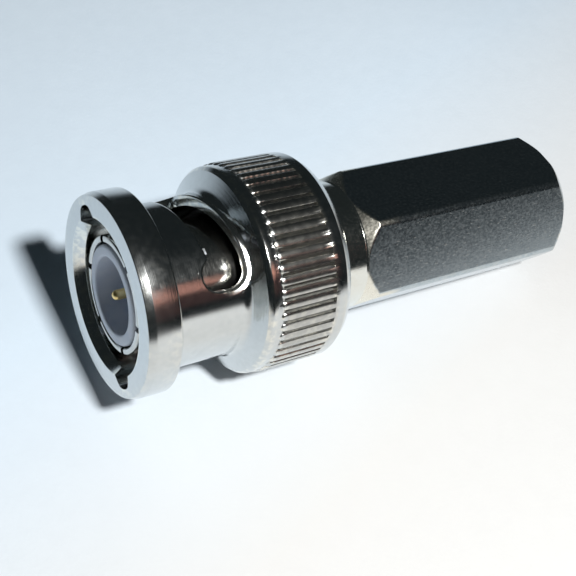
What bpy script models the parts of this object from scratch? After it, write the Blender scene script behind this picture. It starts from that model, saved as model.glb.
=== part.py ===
# Twist-on coaxial cable plug with a bayonet coupling nut, lying on its side at rest.
# Every piece is modelled on the plug's own axis, +X toward the cable end, and one parent
# empty tips that axis until the nut's grip and the hex's rear edge both meet z = 0.
import math

import bmesh
import bpy
import numpy as np
from mathutils import Matrix, Vector

MM = 0.001

# the mating end, which follows the standard bayonet interface
contact_outer_r = 4.08 * MM      # slotted sleeve that enters the socket
contact_wall = 0.50 * MM
contact_recess = 0.56 * MM       # sleeve's tip behind the nut's front face
contact_slot_width = 0.45 * MM
contact_slot_count = 6
contact_slot_len = 5.60 * MM
contact_turn = 14.0              # degrees, first sleeve slot above the viewer's side
jack_room = 0.87 * MM            # room between sleeve and nut for the socket's wall
pin_r = 0.35 * MM
pin_recess = 0.58 * MM
insulator_recess = 0.50 * MM
insulator_wall = 0.80 * MM       # wall of the white cup round the pin
cup_depth = 5.80 * MM

# the coupling nut
rim_len = 2.30 * MM
rim_step = 1.27 * MM             # rim stands this far above the neck
rim_front_round = 0.26 * MM
rim_round = 0.14 * MM
mouth_chamfer = 0.44 * MM
mouth_taper_len = 0.72 * MM
neck_wall = 0.78 * MM
neck_len = 5.50 * MM
grip_step = 1.77 * MM            # grip stands this far above the neck
shoulder_lean = 0.55 * MM        # the shoulder's face leans back by this
neck_fillet = 0.28 * MM
grip_chamfer = 0.38 * MM
front_band = 0.58 * MM
band_drop = 0.12 * MM            # the front band lies this far below the ridges' tips
knurl_len = 4.15 * MM
rear_band = 0.85 * MM
rear_bevel = 0.55 * MM
knurl_count = 56
knurl_turn = 1.75                # degrees, first ridge above the viewer's side
knurl_depth = 0.36 * MM
knurl_runout = 0.16 * MM
rear_pocket = 0.57 * MM          # recess at the nut's back that takes the body's neck
flange_len = 0.65 * MM

# the two bayonet slots, as angles round the nut from the viewer's side upward
entry_angle = 140.0
entry_width = 2.40 * MM          # entry channel at the bore
entry_floor_width = 1.64 * MM    # the same channel near its rounded floor
entry_floor = 0.48 * MM          # entry channel's floor above the neck's surface
slot_width = 2.50 * MM
slot_start = 5.30 * MM           # where the entry turns into the ramp
turn_room = 0.12 * MM            # the entry channel runs on past that by this
slot_rise = 1.30 * MM            # how far the ramp climbs toward the grip
slot_turn = 89.0                 # degrees from entry to the ramp's end
slot_level = 11.0                # the last part of that turn, with no climb
detent_width = 2.36 * MM
detent_drop = 0.72 * MM          # the detent's seat lies this far forward of the ramp's end

# the hexagonal body
hex_flats = 9.70 * MM
hex_len = 19.40 * MM
hex_corner_cut = 0.10 * MM       # corners left round by the bar the body is turned from
neck_below_flats = 0.05 * MM
body_neck_len = 3.38 * MM        # from the shoulder inside the nut to the hex chamfer
hex_front_chamfer = 1.10 * MM
hex_rear_chamfer = 0.60 * MM
hex_rear_drop = 0.48 * MM
hex_rear_bulge = 0.11 * MM       # the rear edge is domed by this
thread_minor_r = 3.25 * MM
thread_depth = 0.35 * MM
thread_pitch = 1.60 * MM
thread_len = 12.80 * MM
mouth_flare = 0.45 * MM
barrel_bore_share = 0.668        # of the barrel's own radius
cable_step = 0.30 * MM           # ledge behind the insulators
socket_share = 0.39              # the pin's rear socket, of the barrel's bore
socket_bore_share = 0.52         # that socket's own bore, of its radius
socket_depth = 3.20 * MM
socket_slit_len = 1.90 * MM
socket_slit_width = 0.22 * MM
socket_reach = 1.90 * MM         # the socket runs on past the insulators' ledge by this

# the spring stack inside the nut
washer_len = 0.35 * MM
wave_height = 1.00 * MM
wave_gauge = 0.20 * MM
wave_count = 3
ring_len = 0.45 * MM
ring_seat = 0.35 * MM            # depth of the ring's groove in the barrel
ring_gap_angle = 34.0
gasket_len = 1.10 * MM
gasket_wall = 0.50 * MM

# clearances
fit_gap = 0.12 * MM              # between neighbours that meet
run_gap = 0.15 * MM              # round a piece that turns or slides in another
axial_gap = 0.25 * MM            # between the nut's flange and the body's shoulder

# derived radii
bore_r = contact_outer_r + jack_room
neck_r = bore_r + neck_wall
rim_r = neck_r + rim_step
grip_r = neck_r + grip_step
band_r = grip_r - band_drop
contact_inner_r = contact_outer_r - contact_wall
barrel_r = contact_inner_r - fit_gap
barrel_bore_r = barrel_bore_share * barrel_r
core_r = barrel_bore_r - fit_gap
insulator_r = contact_inner_r - fit_gap
cup_r = insulator_r - insulator_wall
apothem = 0.5 * hex_flats
corner_r = apothem / math.cos(math.radians(30.0)) - hex_corner_cut
body_neck_r = apothem - neck_below_flats
pocket_r = body_neck_r + run_gap + 0.05 * MM
flange_bore_r = barrel_r + run_gap
cable_bore_r = barrel_bore_r - cable_step
washer_r = bore_r - run_gap
socket_r = socket_share * barrel_bore_r
socket_bore_r = socket_bore_share * socket_r
entry_r = neck_r + entry_floor

# derived stations along the axis, measured from the nut's front face
x_neck_end = rim_len + neck_len
x_edge = x_neck_end + shoulder_lean
x_band = x_edge + grip_chamfer
x_knurl = x_band + front_band
x_knurl_end = x_knurl + knurl_len
x_bevel = x_knurl_end + rear_band
x_nut_end = x_bevel + rear_bevel
x_flange_back = x_nut_end - rear_pocket
x_flange = x_flange_back - flange_len
x_rear_washer = x_flange - fit_gap - washer_len
x_wave = x_rear_washer - fit_gap - wave_height
x_front_washer = x_wave - fit_gap - washer_len
x_ring = x_front_washer - fit_gap - ring_len
x_contact_end = x_ring - fit_gap
x_gasket = x_front_washer - fit_gap - gasket_len
x_barrel = x_contact_end - 1.60 * MM
x_shoulder = x_flange_back + axial_gap
x_cone = x_shoulder + body_neck_len
x_end = x_cone + hex_len
x_ledge = x_shoulder - 0.20 * MM
x_thread = x_end - thread_len

# the resting attitude: the plug lies on the grip's rear edge and the hex's rear edge
rest_tilt = math.atan2(grip_r - apothem, x_end - x_bevel)
rest_height = x_bevel * math.sin(rest_tilt) + grip_r * math.cos(rest_tilt)
front_reach = -rim_r * math.sin(rest_tilt)
rear_reach = x_end * math.cos(rest_tilt) + (corner_r - hex_rear_drop) * math.sin(rest_tilt)
rest_centre = 0.5 * (front_reach + rear_reach)

for old in list(bpy.data.objects):
    bpy.data.objects.remove(old, do_unlink=True)

plug_axis = bpy.data.objects.new("plug_axis", None)
bpy.context.scene.collection.objects.link(plug_axis)
plug_axis.location = (-rest_centre, 0.0, rest_height)
plug_axis.rotation_euler = (0.0, rest_tilt, 0.0)


def finish(name, colour, roughness, metallic):
    """A plain material of the piece's own."""
    mat = bpy.data.materials.new(name)
    mat.use_nodes = True
    shader = mat.node_tree.nodes["Principled BSDF"]
    shader.inputs["Base Color"].default_value = (*colour, 1.0)
    shader.inputs["Roughness"].default_value = roughness
    shader.inputs["Metallic"].default_value = metallic
    return mat


def place(name, bm, station, mat, turn=0.0, smooth=True):
    """Turn a bmesh into an object on the plug's axis, its front face at the station."""
    bmesh.ops.recalc_face_normals(bm, faces=bm.faces)
    if bm.calc_volume(signed=True) < 0.0:
        bmesh.ops.reverse_faces(bm, faces=bm.faces)
    mesh = bpy.data.meshes.new(name)
    bm.to_mesh(mesh)
    bm.free()
    for face in mesh.polygons:
        face.use_smooth = smooth
    if smooth:
        mesh.set_sharp_from_angle(angle=math.radians(30.0))
    obj = bpy.data.objects.new(name, mesh)
    bpy.context.scene.collection.objects.link(obj)
    obj.parent = plug_axis
    obj.location = (station, 0.0, 0.0)
    obj.rotation_euler = (turn, 0.0, 0.0)
    if mat is not None:
        mesh.materials.append(mat)
    return obj


def cut(target, cutter, operation="DIFFERENCE"):
    """Apply one solid to another and keep the cutter out of sight."""
    cutter.hide_render = True
    cutter.display_type = "WIRE"
    mod = target.modifiers.new(cutter.name, "BOOLEAN")
    mod.operation = operation
    mod.object = cutter
    mod.solver = "EXACT"


def around(x, r, angle):
    """Point at a station, a radius and an angle from the viewer's side (-Y) upward."""
    return (x, -r * math.cos(angle), r * math.sin(angle))


def turned(section, segments, closed=True, start=0.0):
    """Solid of revolution about X. Each section entry is (x, r) or (x, r, r between)."""
    bm = bmesh.new()
    rings = []
    for entry in section:
        x, r = entry[0], entry[1]
        other = entry[2] if len(entry) > 2 else r
        if r == 0.0:
            rings.append([bm.verts.new((x, 0.0, 0.0))])
            continue
        rings.append([
            bm.verts.new(around(x, other if i % 2 else r,
                                start + 2.0 * math.pi * i / segments))
            for i in range(segments)
        ])
    pairs = list(zip(rings, rings[1:]))
    if closed:
        pairs.append((rings[-1], rings[0]))
    for a, b in pairs:
        for i in range(segments):
            j = (i + 1) % segments
            if len(a) == 1:
                bm.faces.new((a[0], b[i], b[j]))
            elif len(b) == 1:
                bm.faces.new((a[i], a[j], b[0]))
            else:
                bm.faces.new((a[i], a[j], b[j], b[i]))
    return bm


def box(size, centre):
    bm = bmesh.new()
    bmesh.ops.create_cube(bm, size=1.0)
    bmesh.ops.scale(bm, vec=Vector(size), verts=bm.verts)
    bmesh.ops.translate(bm, vec=Vector(centre), verts=bm.verts)
    return bm


# coupling nut: one turned piece, nickel plated, with two bayonet slots and a knurl
nickel = finish("nickel_bright", (0.72, 0.72, 0.70), 0.12, 1.0)
fillet_mid = neck_fillet * (1.0 - math.cos(math.radians(45.0)))
tip, valley = grip_r, grip_r - knurl_depth
nut_section = [
    (0.0, bore_r + mouth_chamfer),
    (0.0, rim_r - rim_front_round),
    (rim_front_round, rim_r),
    (rim_len - rim_round, rim_r),
    (rim_len, rim_r - rim_round),
    (rim_len, neck_r),
    (x_neck_end - neck_fillet, neck_r),
    (x_neck_end - fillet_mid, neck_r + fillet_mid),
    (x_neck_end + 0.04 * MM, neck_r + neck_fillet),
    (x_edge, grip_r - grip_chamfer),
    (x_band, band_r),
    (x_knurl, band_r),
    (x_knurl + knurl_runout, tip, valley),
    (x_knurl_end - knurl_runout, tip, valley),
    (x_knurl_end, tip),
    (x_bevel, grip_r),
    (x_nut_end, grip_r - grip_chamfer),
    (x_nut_end, pocket_r),
    (x_flange_back, pocket_r),
    (x_flange_back, flange_bore_r),
    (x_flange, flange_bore_r),
    (x_flange, bore_r),
    (mouth_taper_len, bore_r),
]
nut = place("coupling_nut", turned(nut_section, 2 * knurl_count,
                                   start=math.radians(knurl_turn)), 0.0, nickel)


def swept_slot(points, width, outer):
    """Closed cutter along a path of (x, angle) on the nut's wall, with a rounded far end."""
    flat = np.array([(x, math.radians(a) * neck_r) for x, a in points])
    run = np.gradient(flat, axis=0)
    run /= np.linalg.norm(run, axis=1)[:, None]
    half = 0.5 * width
    centres, widths, runs = list(flat), [half] * len(flat), list(run)
    for step in range(1, 7):
        swing = math.radians(90.0 * step / 6.5)
        centres.append(flat[-1] + run[-1] * half * math.sin(swing))
        widths.append(half * math.cos(swing))
        runs.append(run[-1])
    bm = bmesh.new()
    rows = []
    for (x, s), w, (rx, rs) in zip(centres, widths, runs):
        rows.append([
            bm.verts.new(around(x - k * w * rs, r, (s + k * w * rx) / neck_r))
            for r in (bore_r - 0.5 * jack_room, outer) for k in (-1.0, 0.0, 1.0)
        ])
    for a, b in zip(rows, rows[1:]):
        for i in (0, 1):
            bm.faces.new((a[i], a[i + 1], b[i + 1], b[i]))
            bm.faces.new((a[i + 3], b[i + 3], b[i + 4], a[i + 4]))
        bm.faces.new((a[0], b[0], b[3], a[3]))
        bm.faces.new((a[2], a[5], b[5], b[2]))
    for row in (rows[0], rows[-1]):
        for i in (0, 1):
            bm.faces.new((row[i], row[i + 3], row[i + 4], row[i + 1]))
    return bm


def entry_channel():
    """Closed cutter for the entry: straight along the axis, closing in to a round floor."""
    half, top = 0.5 * entry_width, 0.5 * entry_floor_width
    side = [(half, bore_r - 0.5 * jack_room), (half, bore_r + 0.30 * MM),
            (top, entry_r - 0.25 * MM), (0.6 * top, entry_r - 0.06 * MM)]
    section = side + [(0.0, entry_r)] + [(-s, v) for s, v in reversed(side)]
    c = math.radians(entry_angle)
    bm = bmesh.new()
    ends = [[bm.verts.new((x, s * math.sin(c) - v * math.cos(c),
                           s * math.cos(c) + v * math.sin(c))) for s, v in section]
            for x in (-0.5 * MM, slot_start + turn_room)]
    for i in range(len(section)):
        j = (i + 1) % len(section)
        bm.faces.new((ends[0][i], ends[0][j], ends[1][j], ends[1][i]))
    bm.faces.new(ends[0][::-1])
    bm.faces.new(ends[1])
    return bm


def straight(start, end, steps):
    return [(start[0] + (end[0] - start[0]) * i / steps,
             start[1] + (end[1] - start[1]) * i / steps) for i in range(steps + 1)]


x_top = slot_start + slot_rise
level_angle = entry_angle - slot_turn + slot_level
end_angle = entry_angle - slot_turn
ramp = (straight((slot_start, entry_angle + 1.3), (x_top, level_angle), 16)[:-1]
        + straight((x_top, level_angle), (x_top, end_angle), 3))
seat = straight((x_top + 0.1 * MM, end_angle), (x_top - detent_drop, end_angle), 3)
for half_turn, label in ((0.0, "near"), (math.pi, "far")):
    for kind, tool in (
            ("entry", entry_channel()),
            ("ramp", swept_slot(ramp, slot_width, 0.5 * (entry_r + rim_r))),
            ("seat", swept_slot(seat, detent_width, rim_r))):
        cut(nut, place(f"cut_{kind}_{label}", tool, 0.0, None, turn=half_turn, smooth=False))

# connector body: hexagonal bar turned down at the front, threaded bore for the cable
satin = finish("nickel_satin", (0.34, 0.35, 0.36), 0.32, 1.0)
body_len = x_end - x_barrel
groove_a = x_ring - x_barrel - 0.07 * MM
groove_b = x_ring + ring_len - x_barrel + 0.07 * MM
body_section = [
    (0.0, barrel_bore_r + 0.10 * MM),
    (0.0, barrel_r - 0.10 * MM),
    (0.10 * MM, barrel_r),
    (groove_a, barrel_r),
    (groove_a, barrel_r - ring_seat),
    (groove_b, barrel_r - ring_seat),
    (groove_b, barrel_r),
    (x_shoulder - x_barrel, barrel_r),
    (x_shoulder - x_barrel, body_neck_r),
    (x_cone - x_barrel, body_neck_r),
    (x_cone + hex_front_chamfer - x_barrel, corner_r),
    (body_len - hex_rear_chamfer, corner_r),
    (body_len - 0.5 * hex_rear_chamfer, corner_r - 0.5 * hex_rear_drop + hex_rear_bulge),
    (body_len, corner_r - hex_rear_drop),
    (body_len, cable_bore_r),
    (x_ledge - x_barrel, cable_bore_r),
    (x_ledge - x_barrel, barrel_bore_r),
    (0.10 * MM, barrel_bore_r),
]
body = place("connector_body", turned(body_section, 72), x_barrel, satin)

prism = bmesh.new()
ends = []
for x in (-1.0 * MM, body_len + 1.0 * MM):
    ends.append([
        prism.verts.new(around(x, apothem / math.cos(math.radians(30.0)),
                               math.radians(60.0 * i)))
        for i in range(6)
    ])
for i in range(6):
    j = (i + 1) % 6
    prism.faces.new((ends[0][i], ends[0][j], ends[1][j], ends[1][i]))
prism.faces.new(ends[0])
prism.faces.new(ends[1][::-1])
cut(body, place("cut_hexagon", prism, x_barrel, None, smooth=False), "INTERSECT")

# the coarse thread that winds onto the cable's jacket
rows_per_turn = 5
thread_rows = int(round((thread_len + thread_pitch) / thread_pitch * rows_per_turn))
thread_segments = 26
tool = bmesh.new()
wall = []
for k in range(thread_rows + 1):
    x = k * thread_pitch / rows_per_turn
    ring = []
    for i in range(thread_segments):
        phase = 2.0 * math.pi * (x / thread_pitch - i / thread_segments)
        ease = min(1.0, k / rows_per_turn)
        r = thread_minor_r + thread_depth * ease * 0.5 * (1.0 + math.cos(phase))
        ring.append(tool.verts.new(around(x, r, 2.0 * math.pi * i / thread_segments)))
    wall.append(ring)
for a, b in zip(wall, wall[1:]):
    for i in range(thread_segments):
        j = (i + 1) % thread_segments
        tool.faces.new((a[i], a[j], b[j], b[i]))
throat_x = -(thread_minor_r - cable_bore_r)
throat = [tool.verts.new(around(throat_x, 0.98 * cable_bore_r,
                                2.0 * math.pi * i / thread_segments))
          for i in range(thread_segments)]
for i in range(thread_segments):
    j = (i + 1) % thread_segments
    tool.faces.new((throat[i], throat[j], wall[0][j], wall[0][i]))
tool.faces.new(throat[::-1])
tool.faces.new(wall[-1])
cut(body, place("cut_thread", tool, x_thread, None, smooth=False))

flare = turned([
    (-mouth_flare, 0.0),
    (-mouth_flare, thread_minor_r + 0.20 * MM),
    (0.0, thread_minor_r + thread_depth + mouth_flare - 0.15 * MM),
    (0.5 * MM, thread_minor_r + thread_depth + mouth_flare - 0.15 * MM),
    (0.5 * MM, 0.0),
], 48, closed=False)
cut(body, place("cut_mouth", flare, x_end, None, smooth=False))

# outer contact: thin slotted sleeve pressed on the front of the barrel
contact_nickel = finish("nickel_contact", (0.70, 0.69, 0.67), 0.22, 1.0)
contact_len = x_contact_end - contact_recess
lip = 0.15 * MM
contact_section = [
    (0.0, contact_inner_r + 0.5 * lip),
    (0.0, contact_outer_r - lip),
    (lip, contact_outer_r),
    (contact_slot_len, contact_outer_r),
    (contact_len - lip, contact_outer_r),
    (contact_len, contact_outer_r - lip),
    (contact_len, contact_inner_r),
    (contact_slot_len, contact_inner_r),
    (0.5 * lip, contact_inner_r),
]
contact = place("outer_contact", turned(contact_section, 60), contact_recess, contact_nickel)
for k in range(contact_slot_count // 2):
    slit = box((contact_slot_len + 1.0 * MM, 2.4 * contact_outer_r, contact_slot_width),
               (0.5 * contact_slot_len - 0.5 * MM, 0.0, 0.0))
    turn = -math.radians(contact_turn + 360.0 * k / contact_slot_count)
    cut(contact, place(f"cut_slit_{k}", slit, contact_recess, None, turn=turn, smooth=False))

# front insulator: white cup round the pin, with a spigot inside the barrel
white = finish("insulator_white", (0.82, 0.83, 0.90), 0.45, 0.0)
insulator_len = x_barrel - fit_gap - insulator_recess
spigot_len = x_ring - x_barrel + 0.30 * MM
hole_r = pin_r + fit_gap
place("front_insulator", turned([
    (0.0, cup_r + 0.06 * MM),
    (0.0, insulator_r - 0.12 * MM),
    (0.12 * MM, insulator_r),
    (insulator_len, insulator_r),
    (insulator_len, core_r),
    (insulator_len + spigot_len, core_r),
    (insulator_len + spigot_len, hole_r),
    (cup_depth, hole_r),
    (cup_depth, cup_r - 0.15 * MM),
    (cup_depth - 0.15 * MM, cup_r),
    (0.06 * MM, cup_r),
], 48), insulator_recess, white)
x_insulator_end = insulator_recess + insulator_len + spigot_len

# centre pin: gold plated, round nose, slit socket at the back for the conductor
gold = finish("pin_gold", (0.83, 0.62, 0.24), 0.22, 1.0)
x_socket = x_insulator_end + fit_gap
x_pin_end = x_ledge + socket_reach
shank = x_socket - pin_recess
pin_len = x_pin_end - pin_recess
nose = [(pin_r * (1.0 - math.cos(math.radians(a))), pin_r * math.sin(math.radians(a)))
        for a in (0.0, 22.5, 45.0, 67.5, 90.0)]
pin = place("centre_pin", turned(nose + [
    (shank, pin_r),
    (shank, socket_r),
    (pin_len, socket_r),
    (pin_len, socket_bore_r),
    (pin_len - socket_depth, socket_bore_r),
    (pin_len - socket_depth, 0.0),
], 28, closed=False), pin_recess, gold)
slit = box((2.0 * socket_slit_len, 3.0 * socket_r, socket_slit_width), (pin_len, 0.0, 0.0))
cut(pin, place("cut_pin_slit", slit, pin_recess, None, smooth=False))

# rear insulator: plain ring that centres the socket inside the barrel
ivory = finish("insulator_ivory", (0.80, 0.79, 0.74), 0.5, 0.0)
rear_start = x_insulator_end + 2.0 * fit_gap
rear_len = x_ledge - fit_gap - rear_start
place("rear_insulator", turned([
    (0.0, socket_r + fit_gap),
    (0.0, core_r),
    (rear_len, core_r),
    (rear_len, socket_r + fit_gap),
], 36), rear_start, ivory)

# mating gasket: soft ring round the sleeve's root, against the front washer
rubber = finish("gasket_grey", (0.30, 0.31, 0.33), 0.7, 0.0)
gasket_r = washer_r
gasket_in = gasket_r - gasket_wall
soft = 0.14 * MM
place("mating_gasket", turned([
    (soft, gasket_in),
    (0.0, gasket_in + soft),
    (0.0, gasket_r - soft),
    (soft, gasket_r),
    (gasket_len - soft, gasket_r),
    (gasket_len, gasket_r - soft),
    (gasket_len, gasket_in + soft),
    (gasket_len - soft, gasket_in),
], 48), x_gasket, rubber)

# retaining ring: open spring ring snapped into the barrel's groove
steel = finish("spring_steel", (0.50, 0.50, 0.50), 0.3, 1.0)
ring_in = barrel_r - ring_seat + 0.12 * MM
ring_out = contact_outer_r - 0.10 * MM
ring_bm = bmesh.new()
ring_steps = 40
open_half = math.radians(0.5 * ring_gap_angle)
slices = []
for i in range(ring_steps + 1):
    a = open_half + (2.0 * math.pi - 2.0 * open_half) * i / ring_steps
    slices.append([ring_bm.verts.new(around(x, r, a)) for x, r in (
        (0.0, ring_in), (0.0, ring_out), (ring_len, ring_out), (ring_len, ring_in))])
for a, b in zip(slices, slices[1:]):
    for i in range(4):
        j = (i + 1) % 4
        ring_bm.faces.new((a[i], a[j], b[j], b[i]))
ring_bm.faces.new(slices[0])
ring_bm.faces.new(slices[-1][::-1])
place("retaining_ring", ring_bm, x_ring, steel)

# the spring stack: two flat washers with a wave washer between them
washer_in = barrel_r + run_gap
for name, station in (("front_washer", x_front_washer), ("rear_washer", x_rear_washer)):
    place(name, turned([
        (0.0, washer_in),
        (0.0, washer_r),
        (washer_len, washer_r),
        (washer_len, washer_in),
    ], 48), station, finish(name + "_zinc", (0.60, 0.60, 0.58), 0.3, 1.0))

wave_bm = bmesh.new()
wave_steps = 48
swing = 0.5 * (wave_height - wave_gauge)
crown = []
for i in range(wave_steps):
    a = 2.0 * math.pi * i / wave_steps
    x = swing * (1.0 + math.cos(wave_count * a))
    crown.append([wave_bm.verts.new(around(x + dx, r, a)) for dx, r in (
        (0.0, washer_in), (0.0, washer_r), (wave_gauge, washer_r), (wave_gauge, washer_in))])
for k in range(wave_steps):
    a, b = crown[k], crown[(k + 1) % wave_steps]
    for i in range(4):
        j = (i + 1) % 4
        wave_bm.faces.new((a[i], a[j], b[j], b[i]))
place("wave_washer", wave_bm, x_wave, steel)
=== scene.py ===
import math

import bmesh
import bpy
import numpy as np
from mathutils import Matrix, Vector
from mathutils.geometry import delaunay_2d_cdt


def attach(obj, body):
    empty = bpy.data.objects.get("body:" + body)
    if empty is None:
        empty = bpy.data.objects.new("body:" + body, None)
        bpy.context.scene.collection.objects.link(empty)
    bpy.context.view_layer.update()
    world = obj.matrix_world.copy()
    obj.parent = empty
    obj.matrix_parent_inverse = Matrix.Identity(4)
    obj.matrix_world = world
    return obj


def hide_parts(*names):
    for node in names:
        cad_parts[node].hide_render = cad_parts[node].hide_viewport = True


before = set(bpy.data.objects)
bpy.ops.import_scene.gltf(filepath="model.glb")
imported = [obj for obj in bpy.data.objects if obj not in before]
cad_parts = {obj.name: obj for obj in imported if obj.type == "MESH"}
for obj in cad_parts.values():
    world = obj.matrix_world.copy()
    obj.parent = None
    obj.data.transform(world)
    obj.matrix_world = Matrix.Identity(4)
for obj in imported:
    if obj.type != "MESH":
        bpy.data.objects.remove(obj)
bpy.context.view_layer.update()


# The body: a drawn hexagonal brass bar, turned down at the front to a neck and a thin barrel,
# tumbled and nickel plated. Its flats keep the fine lengthwise lines of the drawn bar. The
# back is bored out and carries a coarse thread that winds onto the cable's jacket.
half_flats, hex_corner = 4.85, 5.50
neck = 4.80
barrel_out, barrel_nose, barrel_in = 3.46, 3.32, 2.311
ring_groove, ring_groove_depth = (10.94, 11.53), 0.35
cable_bore = 2.011
thread_crest, thread_depth, pitch = 3.25, 0.35, 1.60
barrel_front, ledge, shoulder, cone = 9.29, 14.34, 14.54, 17.92
thread_start, body_end = 24.52, 37.32

# It lies on the grip's back edge and the hexagon's back edge, so the plug's axis tips down
# toward the cable. All shapes are in millimetres on that axis, +X toward the cable, and
# angles count in degrees from the viewer's side upward. The solids' rear corners are rounded
# down by corner_drop, which tells how far back the plug reaches.
grip, grip_back = 7.50, 14.31
rim = 7.00
corner_drop = 0.48
tip_over = math.atan2(grip - half_flats, body_end - grip_back)
height = grip_back * math.sin(tip_over) + grip * math.cos(tip_over)
back_reach = body_end * math.cos(tip_over) + (hex_corner - corner_drop) * math.sin(tip_over)
middle = 0.5 * (back_reach - rim * math.sin(tip_over))
lean = np.array([[math.cos(tip_over), 0.0, math.sin(tip_over)], [0.0, 1.0, 0.0],
                 [-math.sin(tip_over), 0.0, math.cos(tip_over)]])
origin = np.array([-middle, 0.0, height])


def rounded(corners, steps=4):
    """A turned outline: each corner is (x, r, radius of its edge break)."""
    outline = []
    for k, (x, r, radius) in enumerate(corners):
        here = np.array((x, r))
        u = np.array(corners[k - 1][:2]) - here
        v = np.array(corners[(k + 1) % len(corners)][:2]) - here
        u, v = u / np.linalg.norm(u), v / np.linalg.norm(v)
        turn = math.acos(max(-1.0, min(1.0, -u @ v)))
        if radius == 0.0 or turn < 0.02:
            outline.append((x, r))
            continue
        centre = here + (u + v) / np.linalg.norm(u + v) * radius / math.cos(0.5 * turn)
        start = here + u * radius * math.tan(0.5 * turn) - centre
        end = here + v * radius * math.tan(0.5 * turn) - centre
        for s in range(steps + 1):
            f = s / steps
            arc = (math.sin((1 - f) * turn) * start + math.sin(f * turn) * end) / math.sin(turn)
            outline.append(tuple(centre + arc))
    return outline


def ring(x, r, angles):
    """Points round the axis. x and r are one value, or one for each angle."""
    a = np.radians(angles)
    return np.stack([np.broadcast_to(x, a.shape), -r * np.cos(a), r * np.sin(a)], 1)


def places_of(points):
    """x, radius and angle of each point, the way ring() takes them."""
    x, y, z = points.T
    return x, np.hypot(y, z), np.degrees(np.arctan2(z, -y))


def skin(rings, closed=False, around=True):
    """Quads between neighbouring rings; closed joins the last ring to the first."""
    count, width = len(rings), len(rings[0])
    i = np.arange(count if closed else count - 1)[:, None]
    j = np.arange(width if around else width - 1)[None, :]
    k, n = (j + 1) % width, (i + 1) % count
    quads = np.stack([i * width + j, i * width + k, n * width + k, n * width + j], -1)
    return np.concatenate(rings), quads.reshape(-1, 4)


def solid(name, skins, sharp=38.0):
    """Weld the skins into one piece on the plug's axis and note its outer edges as 'edge'."""
    points, faces, first = [], [], 0
    for some_points, some_faces in skins:
        points.append(some_points)
        faces.extend([int(corner) + first for corner in face] for face in some_faces)
        first += len(some_points)
    mesh = bpy.data.meshes.new(name)
    mesh.from_pydata((np.concatenate(points) @ lean.T + origin) * 0.001, [], faces)
    bm = bmesh.new()
    bm.from_mesh(mesh)
    bmesh.ops.remove_doubles(bm, verts=bm.verts, dist=3e-7)
    bmesh.ops.recalc_face_normals(bm, faces=bm.faces)
    if bm.calc_volume(signed=True) < 0.0:
        bmesh.ops.reverse_faces(bm, faces=bm.faces)
    bm.to_mesh(mesh)
    bm.free()
    for face in mesh.polygons:
        face.use_smooth = True
    mesh.set_sharp_from_angle(angle=math.radians(sharp))
    note_edges(mesh)
    piece = bpy.data.objects.new(name, mesh)
    bpy.context.scene.collection.objects.link(piece)
    weigh = piece.modifiers.new("flat faces stay flat", "WEIGHTED_NORMAL")
    weigh.keep_sharp = True
    return piece


def points_on_axis(piece):
    """A piece's points, back in millimetres on the plug's axis."""
    return (np.array([tuple(v.co) for v in piece.data.vertices]) * 1000.0 - origin) @ lean


def note(mesh, name, values):
    """Store one value at each point, which a material reads with noted()."""
    stored = mesh.attributes.new(name, "FLOAT", "POINT")
    stored.data.foreach_set("value", values.astype(np.float32))


def note_edges(mesh):
    """Store how strongly each point sits on an outer edge, 0 to 1, for the wear there."""
    edge_of = np.empty(len(mesh.loops), int)
    mesh.loops.foreach_get("edge_index", edge_of)
    sizes = np.array([face.loop_total for face in mesh.polygons])
    face_of = np.repeat(np.arange(len(sizes)), sizes)
    normals = np.array([face.normal for face in mesh.polygons])
    centres = np.array([face.center for face in mesh.polygons])
    order = np.argsort(edge_of, kind="stable")
    edge_of, face_of = edge_of[order], face_of[order]
    pair = np.nonzero(edge_of[1:] == edge_of[:-1])[0]
    a, b, edge = face_of[pair], face_of[pair + 1], edge_of[pair]
    bend = np.arccos(np.clip((normals[a] * normals[b]).sum(1), -1, 1))
    bend *= ((centres[b] - centres[a]) * normals[a]).sum(1) < 0
    ends = np.array([tuple(e.vertices) for e in mesh.edges])[edge]
    full_bend = 0.35
    worn = np.zeros(len(mesh.vertices))
    for side in (0, 1):
        np.maximum.at(worn, ends[:, side], np.clip(bend / full_bend, 0, 1))
    note(mesh, "edge", worn)


def flat_radius(angles):
    """From the axis to the hexagon's flats, before its corners are turned down."""
    return half_flats / np.cos(np.radians((angles % 60.0) - 30.0))


def soft_least(a, b, width):
    """The smaller of two radii, with the edge between them broken by a small round."""
    near = np.maximum(width - np.abs(a - b), 0.0) / width
    return np.minimum(a, b) - near * near * width * 0.25


edge_break, corner_round = 0.1, 0.07
front_chamfer = 1.1
back_chamfer, back_slope, back_drop = 0.75, 0.8, 0.61
mouth_bevel, drill_point, flank_steepness = 0.3, 1.24, 2.4

finer_from = 26.4
sector = np.concatenate([np.linspace(-30, -finer_from, 13),
                         np.linspace(-finer_from, finer_from, 25)[1:-1],
                         np.linspace(finer_from, 30, 13)[:-1]])
hex_angles = np.concatenate([30.0 + 60.0 * k + sector for k in range(6)])
flats = flat_radius(hex_angles)

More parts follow.
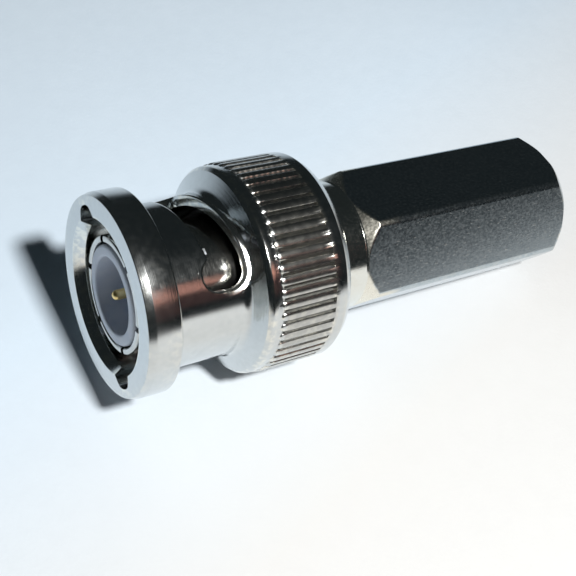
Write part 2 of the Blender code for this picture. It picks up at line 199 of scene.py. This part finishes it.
front = rounded([
    (barrel_front, barrel_in + edge_break, 0), (barrel_front, barrel_nose, 0),
    (barrel_front + edge_break, barrel_out, 0), (ring_groove[0], barrel_out, 0),
    (ring_groove[0], barrel_out - ring_groove_depth, 0),
    (ring_groove[1], barrel_out - ring_groove_depth, 0), (ring_groove[1], barrel_out, 0),
    (shoulder, barrel_out, 0), (shoulder, neck, 0.12), (cone, neck, 0)])
body_rings = [ring(x, r, hex_angles) for x, r in front[:-1]]
stations = np.concatenate([np.linspace(cone - 0.05, cone + 1.2, 46),
                           np.linspace(cone + 1.6, body_end - 1.1, 12),
                           np.linspace(body_end - 0.82, body_end - 0.03, 34)])
for x in stations:
    turned_to = np.interp(x, [cone, cone + front_chamfer], [neck, hex_corner])
    turned_to -= back_slope * max(0.0, x - body_end + back_chamfer)
    body_rings.append(ring(x, soft_least(turned_to, flats, corner_round), hex_angles))
back_edge = soft_least(hex_corner - back_drop, flats, corner_round)
mouth = thread_crest + thread_depth + mouth_bevel
for share, inset in ((0.02, 0.012), (0.05, 0.0), (0.5, 0.0), (0.97, 0.0), (1.0, 0.03)):
    radius = back_edge + (mouth - back_edge) * share
    body_rings.append(ring(body_end - inset, radius, hex_angles))
for x in np.arange(body_end - 0.1, thread_start, -pitch / 10.0):
    phase = np.cos(np.radians(360.0 * (x - thread_start) / pitch - hex_angles))
    groove = 0.5 + 0.5 * np.tanh(flank_steepness * phase) / math.tanh(flank_steepness)
    fade = min(1.0, (x - thread_start) / pitch)
    radius = thread_crest + thread_depth * fade * groove
    body_rings.append(ring(x, np.maximum(radius, mouth - (body_end - x)), hex_angles))
for x, r in ((thread_start, thread_crest), (thread_start - drill_point, cable_bore),
             (ledge, cable_bore), (ledge, barrel_in), (barrel_front + edge_break, barrel_in)):
    body_rings.append(ring(x, r, hex_angles))
body = solid("hex_body", [skin(body_rings, closed=True)])

x, r, angle = places_of(points_on_axis(body))
turned = np.clip((flat_radius(angle) - r) / 0.03, 0, 1) * (x < cone + 2.0)
note(body.data, "turned", turned)
note(body.data, "chamfer", turned * (x > cone + 0.1))


def add(tree, kind, inputs, **settings):
    """One node, with its settings, values and links; returns its first output."""
    node = tree.nodes.new(kind)
    for name, value in settings.items():
        setattr(node, name, value)
    for name, value in inputs.items():
        if isinstance(value, bpy.types.NodeSocket):
            tree.links.new(value, node.inputs[name])
        else:
            node.inputs[name].default_value = value
    return node.outputs[0]


def in_millimetres(tree, stretch=(1.0, 1.0, 1.0)):
    """Millimetres on the plug's axis, stretched to draw lines along one of its directions."""
    own = add(tree, "ShaderNodeTexCoord", {}).node.outputs["Object"]
    return add(tree, "ShaderNodeMapping",
               {"Vector": own, "Location": [0.001 * c for c in origin],
                "Rotation": (0.0, tip_over, 0.0), "Scale": [0.001 / s for s in stretch]},
               vector_type="TEXTURE")


def pattern(tree, size, detail=3.0, stretch=(1.0, 1.0, 1.0), low=0.35, high=0.65):
    """Noise whose patches are about 1/size millimetres, spread from 0 to 1."""
    noise = add(tree, "ShaderNodeTexNoise",
                {"Vector": in_millimetres(tree, stretch), "Scale": size, "Detail": detail})
    return add(tree, "ShaderNodeMapRange",
               {"Value": noise, "From Min": low, "From Max": high})


def between(tree, factor, low, high):
    """A value that goes from low to high as the factor goes from 0 to 1."""
    return add(tree, "ShaderNodeMapRange", {"Value": factor, "To Min": low, "To Max": high})


def blend(tree, factor, first, second):
    """A colour that goes from the first to the second as the factor goes from 0 to 1."""
    mixed = tree.nodes.new("ShaderNodeMix")
    mixed.data_type = "RGBA"
    for socket, value in ((mixed.inputs[0], factor), (mixed.inputs[6], first),
                          (mixed.inputs[7], second)):
        if isinstance(value, bpy.types.NodeSocket):
            tree.links.new(value, socket)
        else:
            socket.default_value = (*value, 1.0) if isinstance(value, tuple) else value
    return mixed.outputs[2]


def product(tree, a, b):
    return add(tree, "ShaderNodeMath", {0: a, 1: b}, operation="MULTIPLY")


def total(tree, a, b):
    return add(tree, "ShaderNodeMath", {0: a, 1: b})


def noted(tree, name):
    """What note() stored at each point under this name."""
    return add(tree, "ShaderNodeAttribute", {}, attribute_name=name).node.outputs["Fac"]


def surface(name, metallic=0.0):
    """A new material, its node tree and its shader."""
    finish = bpy.data.materials.new(name)
    finish.use_nodes = True
    shader = finish.node_tree.nodes["Principled BSDF"]
    shader.inputs["Metallic"].default_value = metallic
    return finish, finish.node_tree, shader


def dress(tree, shader, colour, roughness, layers):
    """Set colour, roughness and bumps: each layer is (height 0 to 1, depth in millimetres)."""
    tree.links.new(colour, shader.inputs["Base Color"])
    tree.links.new(roughness, shader.inputs["Roughness"])
    normal = None
    for layer, depth in layers:
        inputs = {"Height": layer, "Distance": depth * 0.001, "Strength": 1.0}
        if normal is not None:
            inputs["Normal"] = normal
        normal = add(tree, "ShaderNodeBump", inputs)
    tree.links.new(normal, shader.inputs["Normal"])


satin_nickel, tree, shader = surface("satin nickel over drawn bar", 1.0)
draw_lines = pattern(tree, 5.0, 3.0, (0.12, 3.0, 3.0))
speckle = pattern(tree, 6.0, 4.0, (0.8, 1.0, 1.0), 0.40, 0.70)
nicks = pattern(tree, 4.5, 1.0, (0.6, 2.5, 2.5), 0.68, 0.75)
clouds = pattern(tree, 0.9, 5.0)
worn = product(tree, noted(tree, "edge"), pattern(tree, 3.0, 3.0, (0.5, 1.0, 1.0), 0.45, 0.6))
tint = blend(tree, clouds, (0.39, 0.455, 0.50), (0.45, 0.515, 0.56))
for cover, colour in ((speckle, (0.54, 0.605, 0.64)),
                      (noted(tree, "turned"), (0.76, 0.77, 0.73)),
                      (noted(tree, "chamfer"), (0.79, 0.77, 0.69)),
                      (worn, (0.68, 0.66, 0.58)),
                      (nicks, (0.78, 0.79, 0.76))):
    tint = blend(tree, cover, tint, colour)
gloss = between(tree, speckle, 0.17, 0.24)
gloss = total(tree, gloss, between(tree, noted(tree, "turned"), 0.0, -0.06))
gloss = total(tree, gloss, between(tree, noted(tree, "chamfer"), 0.0, 0.12))
dress(tree, shader, tint, gloss, [(draw_lines, 0.0003), (speckle, 0.0003), (nicks, 0.0012)])
body.data.materials.append(satin_nickel)
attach(body, "plug_body")
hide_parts("connector_body")


# The centre pin: gold plated brass with a round nose, standing free inside the white cup. Its
# back end is a slit socket that grips the cable's wire.
pin = 0.35
socket_out, socket_in, socket_slit = 0.901, 0.469, 0.11
pin_front, socket_front, socket_floor, slit_front, pin_back = 0.58, 11.31, 13.04, 14.34, 16.24


def slit_tube(stations, centres, half_width, steps, slit_end, closed=True):
    """A thin tube, slit from its first station to the one numbered slit_end, with so many
    steps from one slit to the next. Each station is (x, inner r, outer r)."""
    def angles(r):
        off = math.degrees(math.asin(half_width / r))
        return np.concatenate([
            np.concatenate([[a - off], np.linspace(a + off, b - off, steps + 1)[:-1]])
            for a, b in zip(centres, centres[1:] + [centres[0] + 360.0])])

    width = len(centres) * (steps + 1)
    outside = len(stations) * width
    faces = []
    for j in range(width):
        k, slit = (j + 1) % width, j % (steps + 1) == 0
        for i in range(len(stations) - 1):
            a, b = i * width, (i + 1) * width
            if slit and i < slit_end:
                for side in (j, k):
                    faces.append((a + side, b + side, b + side + outside, a + side + outside))
            else:
                faces.append((a + j, a + k, b + k, b + j))
                faces.append((a + j + outside, a + k + outside, b + k + outside, b + j + outside))
        ends = [slit_end if slit else 0] + ([len(stations) - 1] if closed else [])
        faces += [(i * width + j, i * width + k, i * width + k + outside, i * width + j + outside)
                  for i in ends]
    rings = [ring(x, low, angles(low)) for x, low, high in stations]
    rings += [ring(x, high, angles(high)) for x, low, high in stations]
    return (np.concatenate(rings), faces), angles


socket, pin_angles = slit_tube(
    [(pin_back, socket_in + 0.05, socket_out - 0.08), (pin_back - 0.08, socket_in, socket_out),
     (slit_front, socket_in, socket_out), (socket_floor, socket_in, socket_out)],
    [0.0, 180.0], socket_slit, 31, 2, closed=False)
around_pin = pin_angles(socket_out)
shank = [(pin_front + pin * (1.0 - math.cos(a)), pin * math.sin(a))
         for a in np.linspace(0, 0.5 * math.pi, 12)]
shank += [(socket_front - 0.03, pin), (socket_front, pin + 0.03),
          (socket_front, socket_out - 0.06), (socket_front + 0.06, socket_out),
          (socket_floor, socket_out)]
centre_pin = solid("gold_pin", [
    socket, skin([ring(x, r, around_pin) for x, r in shank]),
    skin([ring(socket_floor, socket_in, pin_angles(socket_in)),
          ring(socket_floor - 0.1, 0.0, around_pin)])])
gold, tree, shader = surface("gold plate", 1.0)
rubbed = pattern(tree, 4.0, 3.0, (0.4, 1.5, 1.5))
dress(tree, shader, blend(tree, rubbed, (0.86, 0.63, 0.24), (0.92, 0.74, 0.38)),
      between(tree, rubbed, 0.30, 0.45), [(rubbed, 0.001), (pattern(tree, 14.0), 0.0008)])
centre_pin.data.materials.append(gold)
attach(centre_pin, "plug_body")
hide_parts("centre_pin")


# The insulators: a milky white plastic cup pressed into the sleeve, with a spigot that runs
# back into the barrel, and a plain ring behind it that centres the pin's socket.
cup_in, cup_out, spigot = 2.66, 3.46, 2.191
pin_hole = pin + 0.12
cup_front, cup_floor, cup_back, spigot_back = 0.50, 6.30, 9.17, 11.19
cup_angles = np.arange(0.0, 360.0, 3.0)
cup_outline = rounded([
    (cup_front, cup_in, 0.16), (cup_front, cup_out, 0.22), (cup_back, cup_out, 0.05),
    (cup_back, spigot, 0), (spigot_back, spigot, 0.05), (spigot_back, pin_hole, 0),
    (cup_floor, pin_hole, 0), (cup_floor, cup_in, 0.18)])
cup = solid("insulator_cup", [skin([ring(x, r, cup_angles) for x, r in cup_outline], closed=True)])
milky, tree, shader = surface("milky plastic")
mottle = pattern(tree, 0.7, 4.0)
dress(tree, shader, blend(tree, mottle, (0.66, 0.72, 0.84), (0.74, 0.78, 0.87)),
      between(tree, pattern(tree, 5.0), 0.32, 0.5),
      [(pattern(tree, 6.0, 4.0, (3.0, 1.0, 1.0)), 0.004)])
cup.data.materials.append(milky)
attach(cup, "plug_body")
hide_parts("front_insulator")


def coat(node, finish):
    """Give its finish to a piece whose solid is shown as it is."""
    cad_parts[node].data.materials.clear()
    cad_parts[node].data.materials.append(finish)


ivory, tree, shader = surface("ivory plastic")
mottle = pattern(tree, 0.9, 4.0)
dress(tree, shader, blend(tree, mottle, (0.72, 0.70, 0.62), (0.80, 0.78, 0.71)),
      between(tree, pattern(tree, 5.0), 0.40, 0.55), [(pattern(tree, 8.0, 4.0), 0.004)])
coat("rear_insulator", ivory)


# The outer contact: a thin slit sleeve of springy bronze, nickel plated, pressed on the front
# of the barrel. Its six fingers grip the inside of the socket it enters.
sleeve_front, slit_back, sleeve_back = 0.56, 6.16, 10.89
sleeve_in, sleeve_out, sleeve_break = 3.58, 4.08, 0.12
sleeve_slit, first_slit = 0.225, 14.0

# The first four stations round the fingers' tips.
sleeve_skin = slit_tube(
    [(sleeve_front, 3.72, 3.90), (0.575, 3.67, 3.96), (0.62, 3.62, 4.03), (0.70, 3.59, 4.07),
     (0.80, sleeve_in, sleeve_out), (3.0, sleeve_in, sleeve_out),
     (slit_back, sleeve_in, sleeve_out), (sleeve_back - sleeve_break, sleeve_in, sleeve_out),
     (sleeve_back, sleeve_in, sleeve_out - sleeve_break)],
    [first_slit + 60.0 * k for k in range(6)], sleeve_slit, 26, 6)[0]
sleeve = solid("slit_sleeve", [sleeve_skin])
contact_nickel, tree, shader = surface("nickel over bronze", 1.0)
drawn_lines = pattern(tree, 8.0, 3.0, (1.6, 0.3, 0.3))
clouds = pattern(tree, 1.2, 4.0)
dress(tree, shader, blend(tree, clouds, (0.52, 0.52, 0.50), (0.62, 0.62, 0.60)),
      between(tree, drawn_lines, 0.12, 0.18),
      [(drawn_lines, 0.0001), (pattern(tree, 1.5, 2.0), 0.0015)])
sleeve.data.materials.append(contact_nickel)
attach(sleeve, "plug_body")
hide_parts("outer_contact")


# The spring stack under the nut: a soft grey gasket at the sleeve's root, an open ring
# snapped round the barrel, and a wave washer between two flat ones.
gasket_front, gasket_back = 10.36, 11.46
gasket_in, gasket_out, gasket_round = 4.30, 4.80, 0.14
gasket_outline = rounded([
    (gasket_front, gasket_in, gasket_round), (gasket_front, gasket_out, gasket_round),
    (gasket_back, gasket_out, gasket_round), (gasket_back, gasket_in, gasket_round)])
gasket = solid("soft_gasket", [
    skin([ring(x, r, cup_angles) for x, r in gasket_outline], closed=True)])
rubber, tree, shader = surface("grey rubber")
mottle = pattern(tree, 2.0, 4.0)
dress(tree, shader, blend(tree, mottle, (0.16, 0.165, 0.17), (0.24, 0.245, 0.25)),
      between(tree, pattern(tree, 6.0), 0.55, 0.8), [(pattern(tree, 9.0, 4.0), 0.008)])
gasket.data.materials.append(rubber)
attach(gasket, "plug_body")
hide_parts("mating_gasket")

for node, name, colour in (("retaining_ring", "spring steel", (0.42, 0.42, 0.42)),
                           ("wave_washer", "tempered steel", (0.40, 0.40, 0.42)),
                           ("front_washer", "zinc plate", (0.58, 0.58, 0.56)),
                           ("rear_washer", "bright zinc plate", (0.62, 0.62, 0.60))):
    metal, tree, shader = surface(name, 1.0)
    mottle = pattern(tree, 1.5, 4.0)
    dress(tree, shader, blend(tree, mottle, tuple(0.8 * c for c in colour), colour),
          between(tree, mottle, 0.25, 0.42), [(pattern(tree, 6.0, 3.0), 0.002)])
    coat(node, metal)


# The coupling nut: turned from brass bar and bright nickel plated, with a straight knurl on
# its grip. Two slots climb round its neck from entry channels in the rim and end in the seats
# that hold the socket's studs. It turns and slides a little on the barrel.
bore, neck_out = 4.95, 5.73
rim_back, grip_front, nut_back = 2.30, 8.35, 14.86
rim_taper, rim_taper_run = 0.15, 0.52
fillet_start, fillet, fillet_share, shoulder_slope = 7.326, 0.60, 0.908, 2.174
lane, lane_side, lane_reach, lane_floor = 140.0, 12.0, 30.0, 6.21
ramp_start, ramp_top, level_angle, seat_angle, seat_drop = 5.30, 6.60, 62.0, 51.0, 0.72
lane_half, ramp_half, seat_half = 1.20, 1.25, 1.18
lip, inner_lip, fade_run = 0.12, 0.051, 0.5
bevel, bevel_slope, seat_wall_slope = 0.30, 0.27, 7.0
ridges, first_ridge, groove_depth, crown = 56, 1.75, 0.30, 0.035
knurl_front, knurl_back, band, bevel_foot = 9.22, 13.46, 7.38, 7.12
flange_front, flange_back, flange_bore, back_bore = 13.64, 14.29, 3.61, 5.0


def slot_shape(path, half_width, grow):
    """Outline of one cutter's run in (distance round the neck, x), with a round far end."""
    run_on = np.array([(math.radians(a) * neck_out, x) for x, a in path])
    run = np.gradient(run_on, axis=0)
    run /= np.linalg.norm(run, axis=1)[:, None]
    side = np.stack([-run[:, 1], run[:, 0]], 1)
    wide = (half_width + grow * np.clip((run_on[:, 1] - rim_back) / fade_run, 0, 1))[:, None]
    swing = np.radians(np.arange(10.0, 180.0, 10.0))[:, None]
    end = run_on[-1] + wide[-1] * (np.cos(swing) * side[-1] + np.sin(swing) * run[-1])
    return np.concatenate([run_on + wide * side, end, (run_on - wide * side)[::-1]])


def straight_run(start, end, steps):
    return [tuple(np.array(start) + (np.array(end) - start) * i / steps) for i in range(steps + 1)]


def slot_shapes(grow):
    """One slot's entry lane, ramp and seat, each wider by grow on both sides. They overlap
    a little where they meet."""
    lane_run = straight_run((rim_back, lane), (ramp_start + 0.12, lane), 16)
    climb = straight_run((ramp_start, lane + 1.3), (ramp_top, level_angle), 48)[:-1]
    climb += straight_run((ramp_top, level_angle), (ramp_top, seat_angle), 6)
    drop = straight_run((ramp_top + 0.1, seat_angle), (ramp_top - seat_drop, seat_angle), 5)
    return [slot_shape(lane_run, lane_half, grow), slot_shape(climb, ramp_half, grow),
            slot_shape(drop, seat_half, grow)]


def apart(points, outline):
    """How far points lie outside a closed outline, below zero inside it."""
    a = outline
    ab = np.roll(outline, -1, 0) - a
    p = points[:, None, :]
    along = np.clip(((p - a) * ab).sum(2) / (ab ** 2).sum(1), 0, 1)
    gap = np.linalg.norm(p - a - along[..., None] * ab, axis=2).min(1)
    with np.errstate(divide="ignore", invalid="ignore"):
        meets = a[:, 0] + ab[:, 0] * (p[..., 1] - a[:, 1]) / ab[:, 1]
    above = (a[:, 1] > p[..., 1]) != (a[:, 1] + ab[:, 1] > p[..., 1])
    inside = (above & (p[..., 0] < meets)).sum(1) % 2 == 1
    return np.where(inside, -gap, gap)


def clear_of_slot(points):
    return np.min([apart(points, shape) for shape in slot_shapes(0.0)], axis=0)


def neck_outline(x):
    """Outer radius of the neck, its fillet and the leaning shoulder, up to the grip's edge."""
    run = fillet_share * fillet
    hollow = neck_out + fillet - np.sqrt(fillet ** 2 - np.clip(x - fillet_start, 0, run) ** 2)
    return hollow + np.maximum(x - fillet_start - run, 0) * shoulder_slope


# Half of the neck's wall is laid out flat as a net of triangles, with the slot left open and
# lines along its edges, and is then bent round the axis, once as it is and once turned.
across = np.array([0.0, 0.12, 0.21, 0.28, 0.32, 0.37, 0.43, 0.5, 0.57, 0.63, 0.68, 0.72,
                   0.79, 0.88])
grip_angles = first_ridge + 360.0 / ridges * (np.arange(ridges)[:, None] + across).ravel()
half_way = len(grip_angles) // 2
start, stop = first_ridge, first_ridge + 180.0
rim_angles = np.sort(np.append(np.arange(0.0, 360.0), [start, stop]))
to_neck = math.radians(1.0) * neck_out
low_edge = [(a * to_neck, rim_back) for a in rim_angles
            if start <= a <= stop and abs(a - lane) >= lane_side]
high_edge = [(a * to_neck, grip_front) for a in np.append(grip_angles[:half_way], stop)]
rows = np.concatenate([np.arange(2.65, 7.2, 0.35), np.linspace(fillet_start, 7.88, 10),
                       [8.0, 8.12, 8.24]])
net = np.array([(a * to_neck, x) for x in rows for a in grip_angles[2:half_way:2]])
net = net[clear_of_slot(net) > 0.17]
sides = [(a * to_neck, x) for a in (start, stop) for x in rows]
points = [*low_edge, *high_edge, *sides, *net]
lines = []
for grow in (0.0, 0.016, inner_lip, lip, 0.18, 0.24, bevel, 0.35, 0.42):
    for shape in slot_shapes(grow):
        first = len(points)
        points.extend(map(tuple, shape))
        lines.extend((first + i, first + (i + 1) % len(shape)) for i in range(len(shape)))
patch = delaunay_2d_cdt([Vector(p) for p in points], lines, [], 0, 1e-5)
spots = np.array([tuple(p) for p in patch[0]])
triangles = np.array([t for t in patch[2] if len(t) == 3])
centres = spots[triangles].mean(1)
triangles = triangles[(clear_of_slot(centres) > 1e-4) & (centres[:, 1] > rim_back)]
gap = np.abs(clear_of_slot(spots))
fade = np.clip((spots[:, 1] - rim_back) / fade_run, 1e-3, 1)


def lip_drop(radius):
    """How far an edge rounded by this radius falls away beside the slot."""
    room = radius * fade
    return room - np.sqrt(np.maximum(room ** 2 - np.clip(room - gap, 0, None) ** 2, 0))


def ease(share):
    share = np.clip(share, 0, 1)
    return share * share * (3 - 2 * share)


# Near a seat the slot's edge has a bevel, and the shoulder stands back behind it.
spot_angles = spots[:, 0] / to_neck
broad = ease((70.0 - spot_angles) / 10.0) * ease((spots[:, 1] - 6.0) / 0.6)
outer_lip = lip_drop(lip - 0.07 * broad)
outer_lip += bevel_slope * broad * np.maximum(bevel - gap, 0) * (fade == 1)
held = np.minimum(neck_outline(spots[:, 1]),
                  neck_out + seat_wall_slope * np.maximum(gap - bevel, 0))
wall_outside = ring(spots[:, 1], held - outer_lip, spot_angles)
wall_inside = ring(spots[:, 1], bore + lip_drop(inner_lip), spot_angles)
ends = np.concatenate([triangles[:, [0, 1]], triangles[:, [1, 2]], triangles[:, [2, 0]]])
ends, uses = np.unique(np.sort(ends, axis=1), axis=0, return_counts=True)
slot_wall = ends[(uses == 1) & (gap[ends].max(1) < 2e-4)]
shift = len(spots)
neck_skins = []
for half_turn in (1.0, -1.0):
    both = np.concatenate([wall_outside, wall_inside]) * (1.0, half_turn, half_turn)
    neck_skins.append((both, [*triangles.tolist(), *(triangles + shift).tolist(),
                              *[(a, b, b + shift, a + shift) for a, b in slot_wall.tolist()]]))

# The rim is turned, and where an entry lane runs its section keeps clear of the lane. Each
# side of a lane has two columns of points, and a wall stands between them.
lane_edges = [lane - lane_side, lane + lane_side,
              lane + 180.0 - lane_side, lane + 180.0 + lane_side]
rim_columns, in_lane = [], []
for a in rim_angles:
    kinds = [abs(a % 180.0 - lane) < lane_side]
    if a in lane_edges:
        kinds = [False, True] if a in lane_edges[::2] else [True, False]
    for kind in kinds:
        rim_columns.append(a)
        in_lane.append(kind)
rim_columns, in_lane = np.array(rim_columns), np.array(in_lane)
rim_outline = rounded([
    (0.0, lane_floor, 0), (0.0, rim - rim_taper, 0.07), (rim_taper_run, rim, 0.10),
    (rim_back, rim, 0.14), (rim_back, lane_floor, 0)], 7)
heights = [5.15, 5.40, 5.56, neck_out, 5.90, 6.02, 6.12, 6.17]
bore_line = [(rim_back, bore), (2.1, bore), (1.8, bore), (0.76, bore), (0.69, bore + 0.02),
             (0.03, bore + 0.42), (0.0, bore + 0.45)]
section = [*bore_line, *[(0.0, r) for r in heights[2:]], *rim_outline, (rim_back, neck_out)]
rim_points, rim_faces = skin([
    ring(x, np.where(in_lane, max(r, lane_floor), r), rim_columns) for x, r in section])
steps = np.nonzero(rim_columns == np.roll(rim_columns, -1))[0]
rim_faces = rim_faces[~np.isin(rim_faces[:, 0] % len(rim_columns), steps)]
lane_walls = []
for a in lane_edges:
    columns = [ring(x, np.maximum(low, [low, *heights, lane_floor]), np.full(len(heights) + 2, a))
               for x, low in bore_line]
    lane_walls.append(skin(columns, around=False))


def close_in(points):
    """The entry narrows outward to a round floor, except in the last part of the rim."""
    x, r, a = places_of(points)
    off = (a - lane + 90.0) % 180.0 - 90.0
    at_radius = [bore, 5.40, neck_out, 6.02, 6.12, 6.17, lane_floor, 6.7]
    half_open = [14.0, 12.8, 10.3, 7.8, 6.2, 4.5, 3.0, 12.0]
    wall = np.interp(r, at_radius, half_open)
    size = np.abs(off)
    beyond = wall + (size - lane_side) * (lane_reach - wall) / (lane_reach - lane_side)
    moved = np.where(size < lane_side, size * wall / lane_side, beyond)
    shift = np.where(size < lane_reach, (moved - size) * np.sign(off), 0)
    return ring(x, r, a + shift * ease((rim_back - x) / fade_run))


rim_points = close_in(rim_points)
lane_walls = [(close_in(points), faces) for points, faces in lane_walls]


def beside_ridge(angles):
    """How far angles are from the middle of a ridge, as a share of the ridges' spacing."""
    return 0.5 - np.abs((angles - first_ridge) * ridges / 360.0 % 1.0 - 0.5)


# Each ridge has a slightly round crown and starts in front with a rounded end on the band.
crown_share, flank_share = 0.31, 0.19
end_back, end_run, end_share = 9.60, 0.38, 0.40
beside = beside_ridge(grip_angles)
groove = 0.5 + 0.5 * np.cos(math.pi * np.clip((0.5 - beside) / flank_share, 0, 1))
ridge = grip - crown * np.minimum(beside / crown_share, 1) ** 2 - (groove_depth - crown) * groove
grip_rings = [ring(x, r, grip_angles) for x, r in (
    (grip_front, bevel_foot), (grip_front + 0.02, 7.15), (8.58, 7.325), (8.64, 7.36),
    (8.72, band), (9.0, band))]
for x in (knurl_front, 9.24, 9.27, 9.31, 9.36, 9.42, 9.49, 9.56, 9.64, 9.74, 9.90):
    nose = 1 - max(0.0, (end_back - x) / end_run) ** 2 - (beside / end_share) ** 2
    rounded_end = band + (grip - band) * np.sqrt(np.maximum(nose, 0))
    rounded_end -= (band - grip + groove_depth) * groove * ease((x - 9.30) / 0.4)
    radius = rounded_end + (ridge - rounded_end) * ease((x - 9.62) / 0.28)
    grip_rings.append(ring(x, radius, grip_angles))
for x in (10.4, 11.0, 11.6, 12.2, 12.8, knurl_back - 0.01):
    grip_rings.append(ring(x, ridge, grip_angles))
grip_rings.append(ring(knurl_back, grip, grip_angles))
back = rounded([
    (13.8, grip, 0), (grip_back, grip, 0.06), (nut_back, bevel_foot, 0.06),
    (nut_back, back_bore, 0.08), (flange_back, back_bore, 0), (flange_back, flange_bore, 0.05),
    (flange_front, flange_bore, 0.05), (flange_front, bore, 0), (grip_front, bore, 0)], 3)
grip_rings += [ring(x, r, grip_angles) for x, r in back]
nut = solid("knurled_nut", [*neck_skins, (rim_points, rim_faces), *lane_walls, skin(grip_rings)])

# Places that the finish treats in their own way: the marks across the grooves near the top,
# the knurl, and the duller edges of the ridge ends, the rim's front and the seats.
x, r, angle = places_of(points_on_axis(nut))
marked = np.clip((beside_ridge(angle) - 0.14) / 0.12, 0, 1) * (x > 9.6) * (x < 13.3)
marked *= ease(1 - np.abs(angle - 96.0) / 26.0)
outside = r > 5.2
knurled = ease((x - 9.5) / 0.2) * ease((13.6 - x) / 0.2) * outside
ridge_end = ease(1 - np.abs(x - 9.42) / 0.3) * outside
rim_front = ease((1.1 - x) / 0.5) * (x > 0.03) * outside
turn = angle % 180.0
off_seat = clear_of_slot(np.stack([turn * to_neck, x], 1))
at_seat = ease(1 - off_seat / 0.5) * ease((75.0 - turn) / 10.0) * ease((x - 5.6) / 0.6) * outside
note(nut.data, "marked", marked)
note(nut.data, "rough", np.maximum.reduce([ridge_end, 0.6 * knurled, 0.35 * rim_front, at_seat]))
note(nut.data, "knurled", knurled)

bright_nickel, tree, shader = surface("bright nickel", 1.0)
turning = pattern(tree, 9.0, 2.0, (2.2, 0.03, 0.03))
haze = pattern(tree, 2.2, 5.0, low=0.4, high=0.62)
grain = pattern(tree, 22.0, 2.0, low=0.52, high=0.66)
worn = product(tree, noted(tree, "edge"), pattern(tree, 2.5, 3.0, low=0.45, high=0.6))
tint = blend(tree, haze, (0.57, 0.595, 0.60), (0.60, 0.625, 0.63))
# Painted shade: the knurled band's colour is darkened, standing in for the shade among its
# grooves.
tint = blend(tree, noted(tree, "knurled"), tint, (0.45, 0.45, 0.435))
tint = blend(tree, worn, tint, (0.82, 0.80, 0.72))
gloss = between(tree, haze, 0.11, 0.14)
gloss = total(tree, gloss, between(tree, noted(tree, "rough"), 0.0, 0.16))
cross = add(tree, "ShaderNodeTexWave", {"Vector": in_millimetres(tree), "Scale": 0.748})
marks = product(tree, cross, noted(tree, "marked"))
dress(tree, shader, tint, gloss, [(turning, 0.0010), (grain, 0.0006), (marks, 0.007)])
nut.data.materials.append(bright_nickel)
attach(nut, "nut")
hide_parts("coupling_nut")


# The table: a plain pale board with a faint grain. Its colour holds painted light: bluish on the
# far side, where cool light is painted in, turning to a neutral white toward the viewer.
bpy.ops.mesh.primitive_plane_add(size=3.0, location=(0.0, 0.0, 0.0))
table = bpy.context.object
table.name = "table"
board, tree, shader = surface("pale board")
own = add(tree, "ShaderNodeTexCoord", {}).node.outputs["Object"]
# Painted light: the board's colour drifts from a painted cool bluish light on the far side to
# neutral white near the viewer.
toward = add(tree, "ShaderNodeVectorMath", {0: own, 1: (0.35, -0.94, 0.0)},
             operation="DOT_PRODUCT").node.outputs["Value"]
painted_light_drift = add(tree, "ShaderNodeMapRange", {"Value": toward, "From Min": -0.012, "From Max": 0.012})
cool_painted_light = blend(tree, pattern(tree, 0.05, 4.0), (0.65, 0.765, 0.885), (0.67, 0.785, 0.905))
dress(tree, shader, blend(tree, painted_light_drift, cool_painted_light, (0.69, 0.70, 0.71)),
      between(tree, pattern(tree, 0.8), 0.55, 0.7), [(pattern(tree, 3.0, 4.0), 0.004)])
table.data.materials.append(board)


# The light: one small lamp high up on the viewer's side, two weak warm ones low on the same
# side, whose glow shows in the nut's neck, and a dim room.
def lamp(name, azimuth, elevation, distance, size, watts, colour):
    a, e = math.radians(azimuth), math.radians(elevation)
    way = Vector((math.cos(e) * math.cos(a), math.cos(e) * math.sin(a), math.sin(e)))
    data = bpy.data.lights.new(name, "AREA")
    data.shape, data.size, data.energy, data.color = "DISK", size, watts, colour
    made = bpy.data.objects.new(name, data)
    bpy.context.scene.collection.objects.link(made)
    made.location = Vector((0.0, 0.0, 0.005)) + way * distance
    made.rotation_euler = way.to_track_quat("Z", "Y").to_euler()
    made.visible_camera = False
    return made


lamp("main lamp", -85.0, 58.6, 0.22, 0.023, 0.70, (1.0, 0.985, 0.95))
for name, elevation, high, watts, colour in (
        ("warm lamp", 35.5, 0.065, 0.0120, (1.0, 0.45, 0.34)),
        ("low warm lamp", 20.0, 0.080, 0.0010, (1.0, 0.34, 0.28))):
    warm = lamp(name, -66.0, elevation, 0.30, 0.09, watts, colour)
    warm.data.shape, warm.data.size_y = "RECTANGLE", high
room = bpy.data.worlds.new("dim room")
room.use_nodes = True
walls = room.node_tree.nodes["Background"]
walls.inputs["Color"].default_value = (0.75, 0.95, 1.0, 1.0)
walls.inputs["Strength"].default_value = 0.020
bpy.context.scene.world = room


# The camera stands in front of the mating end, to its left and well above it. It is rolled
# a little, so that the plug climbs across the picture.
camera_at = (-0.03487, -0.03869, 0.062715)
looks_from = Vector((-0.404828, -0.498812, 0.766356))
roll = math.radians(13.6294)
camera = bpy.data.objects.new("camera", bpy.data.cameras.new("camera"))
bpy.context.scene.collection.objects.link(camera)
level_right = Vector((0.0, 0.0, 1.0)).cross(looks_from).normalized()
level_up = looks_from.cross(level_right)
right = math.cos(roll) * level_right + math.sin(roll) * level_up
up = looks_from.cross(right)
turned_camera = Matrix((right, up, looks_from)).transposed().to_4x4()
camera.matrix_world = Matrix.Translation(camera_at) @ turned_camera
camera.data.lens = 63.7026
camera.data.clip_start = 0.002
bpy.context.scene.camera = camera
bpy.context.scene.view_settings.view_transform = "Standard"
